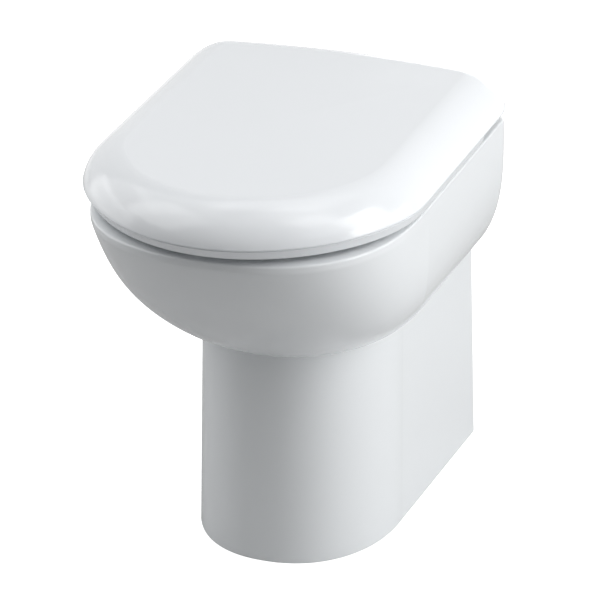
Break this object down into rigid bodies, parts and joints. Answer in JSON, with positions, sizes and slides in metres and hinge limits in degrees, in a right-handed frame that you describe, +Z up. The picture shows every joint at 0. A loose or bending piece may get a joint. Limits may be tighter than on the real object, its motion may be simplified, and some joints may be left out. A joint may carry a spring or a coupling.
{
  "type": "back to wall toilet",
  "caption": "Back to wall toilet pan with a D-shaped soft-close seat and lid on lift-off hinges, open-backed pedestal, horizontal outlet.",
  "frame": {"origin": "middle of the bounding box in plan, on the floor; the wall plane is at y = +0.2475", "axes": "+X across the pan to the sitter's left, +Y back to the wall, +Z up"},
  "size_m": [0.351, 0.495, 0.4575],
  "materials": {
    "china": "gloss white glaze",
    "seat": "gloss white moulding",
    "chrome": "polished plate",
    "steel": "bright",
    "rubber": "matt",
    "buffer": "satin, off-white",
    "nylon": "satin",
    "button": "satin"
  },
  "bodies": {
    "pan": {"pan_shell": "china", "pan_basin": "china", "pan_deck": "china", "trap_bend": "china", "trap_riser": "china", "outlet_spigot": "china", "flush_inlet": "china", "floor_lugs": "china", "base_plate_left": "chrome", "base_plate_right": "chrome", "stud_left": "steel", "stud_right": "steel", "fixing_bushes": "rubber", "fixing_washers": "steel", "fixing_nuts": "steel"},
    "hinge_carriage": {"hinge_block_left": "chrome", "hinge_block_right": "chrome", "damper_lid": "nylon", "damper_seat": "nylon", "pin_lid": "steel", "pin_seat": "steel", "spring_left": "steel", "spring_right": "steel"},
    "button_left": {"release_button_left": "button"},
    "button_right": {"release_button_right": "button"},
    "seat": {"seat_ring": "seat", "seat_wing_left": "chrome", "seat_wing_right": "chrome", "seat_buffers": "buffer", "seat_screws": "steel"},
    "lid": {"lid_shell": "seat", "lid_wing_left": "chrome", "lid_wing_right": "chrome", "lid_buffers": "buffer", "lid_screws": "steel"}
  },
  "joints": [
    {"name": "lift_off", "type": "slide", "parent": "pan", "child": "hinge_carriage", "axis": [0, 0, 1], "range_m": [0, 0.03]},
    {"name": "seat_hinge", "type": "hinge", "parent": "hinge_carriage", "child": "seat", "pos_m": [0, 0.1895, 0.428], "axis": [1, 0, 0], "range_deg": [-92, 0]},
    {"name": "lid_hinge", "type": "hinge", "parent": "seat", "child": "lid", "pos_m": [0, 0.1895, 0.428], "axis": [-1, 0, 0], "range_deg": [0, 92]},
    {"name": "release_left", "type": "slide", "parent": "hinge_carriage", "child": "button_left", "axis": [-1, 0, 0], "range_m": [0, 0.0025], "stiffness_N_per_m": 300},
    {"name": "release_right", "type": "slide", "parent": "hinge_carriage", "child": "button_right", "axis": [1, 0, 0], "range_m": [0, 0.0025], "stiffness_N_per_m": 300}
  ]
}
